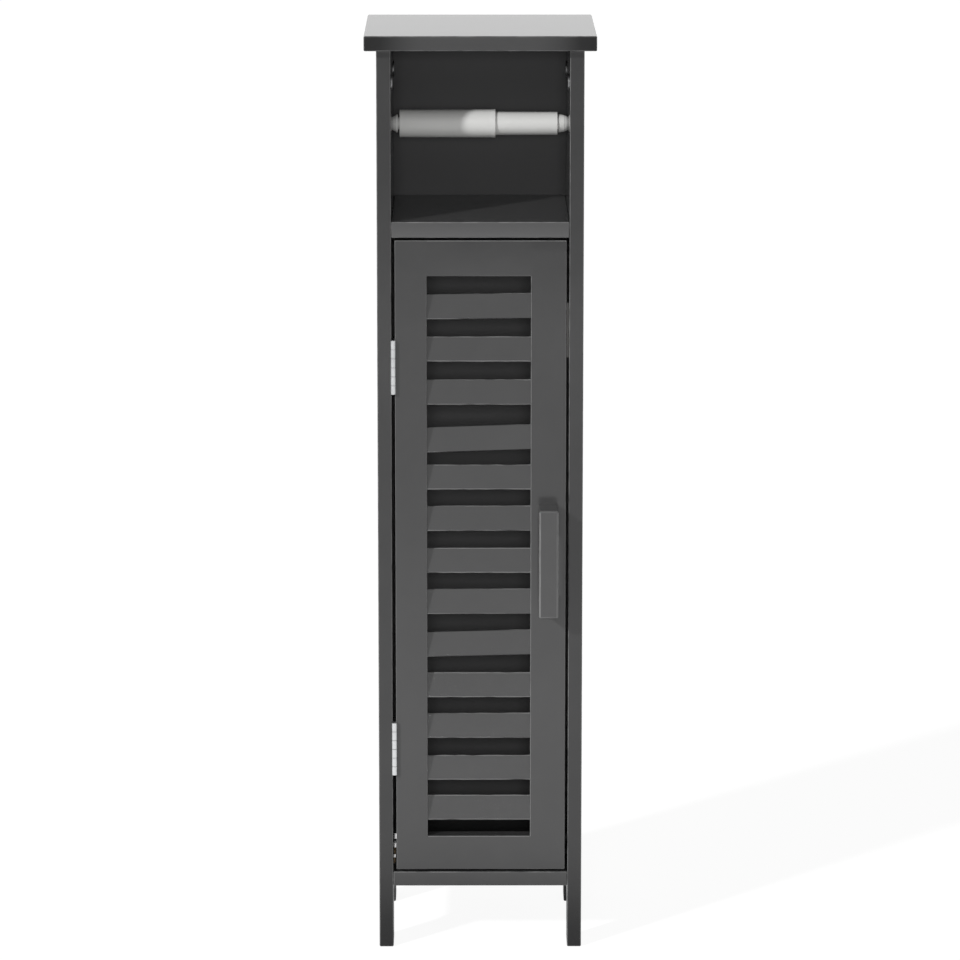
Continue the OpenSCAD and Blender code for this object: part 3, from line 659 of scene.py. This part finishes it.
def ferrite():
    """Sintered ferrite: black, gritty and matt."""
    magnet = Finish("ferrite")
    grit = magnet.noise(magnet.place, 0.4 * mm, 3)
    return magnet.surface(Base_Color=magnet.blend(grit, (0.012, 0.012, 0.013), (0.035, 0.034, 0.034)),
                          Roughness=0.55 + 0.2 * grit, Normal=magnet.bump(20e-6 * grit))


housing = board_copy("catch_housing")
ease(housing, [edge for edge in housing.edges if is_sharp(edge)], 0.35 * mm, 2)
piece("catch_housing_moulded", housing, "catch_housing", "cabinet",
      moulding("catch_plastic", (0.3, 0.3, 0.29), 0.45))

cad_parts["catch_magnet"].material_slots[0].material = ferrite()

bare_steel = zinc_plate("bare_steel", 0.5, 0.35)
for node, body, radius in (("catch_pole_plates", "cabinet", 0.15 * mm), ("strike_plate", "door", 0.2 * mm)):
    plate = board_copy(node)
    ease(plate, [edge for edge in plate.edges if is_sharp(edge)], radius, 2)
    piece(node + "_pressed", plate, node, body, bare_steel)

catch_screw = pan_headed(2.8 * mm, 2 * mm, 1.5 * mm, fastener_length("catch_screws"))
catch_screws = at_each(catch_screw, head_places("catch_screws", (-1, 0, 0), golden_turn))
piece("catch_screws_pan", catch_screws, "catch_screws", "cabinet", zinc)

strike_screw = countersunk(2.2 * mm, 1.3 * mm, fastener_length("strike_screws"))
strike_screws = at_each(strike_screw, head_places("strike_screws", (0, 1, 0), golden_turn))
piece("strike_screws_countersunk", strike_screws, "strike_screws", "door", zinc)


# ---- Roll spindle ----
# Two white moulded tubes that slide in each other, pushed apart by a spring inside. Each ends in a
# neck, a collar and a round nub, which drops into a blind hole in the side panel.

white = moulding("white_plastic", (0.7, 0.7, 0.685), 0.34)
spindle_low, spindle_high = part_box("spindle_wide_tube")
spindle_y = (spindle_low.y + spindle_high.y) / 2
spindle_z = (spindle_low.z + spindle_high.z) / 2

dome_r = 6.9 * mm
dome_x = 69.5 * mm
collar_x = 70.9 * mm
neck_r = 5 * mm
end_wall = 1.8 * mm


def nub(tip_r, root_r, collar_l, tube_end):
    """Outline of a tube's end: round nub, tapered collar and neck, then the tube's closed end."""
    first_angle = math.asin((collar_x - dome_x) / dome_r)
    angles = [math.pi / 2 + (first_angle - math.pi / 2) * step / 10 for step in range(1, 11)]
    dome = [(dome_r * math.cos(angle), dome_x + dome_r * math.sin(angle)) for angle in angles]
    root = collar_x - collar_l
    return [(0, dome_x + dome_r), *dome, (tip_r, collar_x), (root_r, root), (neck_r, root),
            (neck_r, tube_end)]


wide_end = 67.7 * mm
wide_bore = 10.6 * mm
mouth = -13 * mm
mouth_r = 12.05 * mm
mouth_bore = 10.05 * mm
mouth_l = 3 * mm
wide_tube = turned(nub(7.6 * mm, 7.6 * mm, 1.9 * mm, wide_end) + [
    (11.6 * mm, wide_end), (11.85 * mm, mouth + mouth_l + 1 * mm), (mouth_r, mouth + mouth_l),
    (mouth_r, mouth), (mouth_bore, mouth), (mouth_bore, mouth + mouth_l), (wide_bore, mouth + mouth_l),
    (wide_bore, wide_end - end_wall), (0, wide_end - end_wall)], 72)

narrow_end = 65.1 * mm
narrow_bore = 8.45 * mm
foot = -22 * mm
foot_r = 10.4 * mm
foot_l = 2 * mm
narrow_tube = turned(nub(7 * mm, 7.8 * mm, 4.9 * mm, narrow_end) + [
    (9.65 * mm, narrow_end), (9.9 * mm, foot + foot_l), (foot_r, foot + foot_l), (foot_r, foot),
    (narrow_bore, foot), (narrow_bore, narrow_end - end_wall), (0, narrow_end - end_wall)], 72)

for node, tube, side, body in (("spindle_wide_tube", wide_tube, -1, "spindle_wide"),
                               ("spindle_narrow_tube", narrow_tube, 1, "spindle_narrow")):
    ease(tube, [edge for edge in tube.edges if is_sharp(edge)], 0.3 * mm)
    bmesh.ops.transform(tube, matrix=facing((side, 0, 0), (0, spindle_y, spindle_z)), verts=tube.verts)
    piece(node + "_moulded", tube, node, body, white)


# ---- Spindle spring ----
# A coil of 1.2 mm spring wire with twenty turns. It pushes the two tubes apart and shortens by as
# much as the narrow tube is pressed in.

wire_r = 0.6 * mm
coil_r = 6 * mm
coil_x = (-65 * mm, 62.4 * mm)
coil_l = coil_x[1] - coil_x[0]
turns = 20
steps = 24 * turns

coil = bmesh.new()
coil.verts.layers.float.new("arris")
wire_end = Matrix.Translation((coil_x[0], 0, coil_r)) @ Matrix.Rotation(math.pi / 2, 4, "X")
bmesh.ops.create_circle(coil, segments=10, radius=wire_r, matrix=wire_end)
bmesh.ops.spin(coil, geom=coil.verts[:] + coil.edges[:], cent=(0, 0, 0), axis=(1, 0, 0),
               dvec=(coil_l / steps, 0, 0), angle=2 * math.pi * turns, steps=steps)
bmesh.ops.holes_fill(coil, edges=[edge for edge in coil.edges if edge.is_boundary], sides=10)
bmesh.ops.recalc_face_normals(coil, faces=coil.faces)
bmesh.ops.translate(coil, vec=(0, spindle_y, spindle_z), verts=coil.verts)
spring = piece("spindle_spring_wound", coil, "spindle_spring", "spindle_wide", bare_steel)
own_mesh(spring)


# ---- Studio ----
# A plain pale floor and soft light: one lamp from the left front, whose light the left side panel
# keeps off half of the spindle, a weaker one beside the camera, and an even white room.

ground = bmesh.new()
bmesh.ops.create_grid(ground, x_segments=1, y_segments=1, size=30)
ground_data = bpy.data.meshes.new("floor")
ground.to_mesh(ground_data)
ground.free()
floor = bpy.data.objects.new("floor", ground_data)
scene.collection.objects.link(floor)

# The camera sees a white floor with the object's shadow. To glossy rays the floor glows in a ring, dim
# close to the object and far off: a painted reflection in the gloss of the fronts.
pale = Finish("pale_floor")
camera_ray = pale.node("ShaderNodeLightPath", output="Is Camera Ray")
glossy_ray = pale.node("ShaderNodeLightPath", output="Is Glossy Ray")
far = (pale.coordinate("X") ** 2 + pale.coordinate("Y") ** 2) ** 0.5
reflected_glow = 0.2 + 0.85 * far.step(0.05, 0.5) - 0.6 * far.step(0.8, 3)
shade = pale.node("ShaderNodeBsdfDiffuse", {},
                  {"Color": pale.blend(camera_ray, (0.6, 0.6, 0.6), (0.22, 0.22, 0.22))})
glow = pale.node("ShaderNodeEmission", {},
                 {"Color": (1, 1, 1, 1), "Strength": camera_ray * 0.915 + glossy_ray * reflected_glow})
pale.close("ShaderNodeOutputMaterial", pale.node("ShaderNodeAddShader", {}, {0: shade, 1: glow}))
floor.data.materials.append(pale.material)

# The room is white to the camera, a little brighter in front where the gloss mirrors it, and dim
# as a light of its own.
world = bpy.data.worlds.new("white_room")
scene.world = world
room = Graph(world)
camera_ray = room.node("ShaderNodeLightPath", output="Is Camera Ray")
glossy_ray = room.node("ShaderNodeLightPath", output="Is Glossy Ray")
direction = room.node("ShaderNodeTexCoord", output="Generated")
behind = room.node("ShaderNodeSeparateXYZ", {}, {0: direction}, output="Y").step(-0.4, 0.4)
glossy = 1.3 - 0.34 * behind
ambient = 0.18
strength = camera_ray + (1 - camera_ray) * (glossy_ray * glossy + (1 - glossy_ray) * ambient)
white_light = room.node("ShaderNodeBackground", {}, {"Color": (1, 1, 1, 1), "Strength": strength})
room.close("ShaderNodeOutputWorld", white_light)

key = bpy.data.objects.new("key_lamp", bpy.data.lights.new("key_lamp", "SUN"))
key.data.energy = 2.1
key.data.angle = math.radians(3.5)
key.rotation_euler = Vector((-0.592, -0.635, 0.44)).to_track_quat("Z", "Y").to_euler()
scene.collection.objects.link(key)

fill = bpy.data.objects.new("fill_lamp", bpy.data.lights.new("fill_lamp", "AREA"))
fill.data.shape = "RECTANGLE"
fill.data.size = 0.6
fill.data.size_y = 0.4
fill.data.energy = 44
fill.location = camera.location
fill.rotation_euler = camera.rotation_euler
fill.visible_glossy = False
scene.collection.objects.link(fill)

scene.view_settings.view_transform = "Standard"
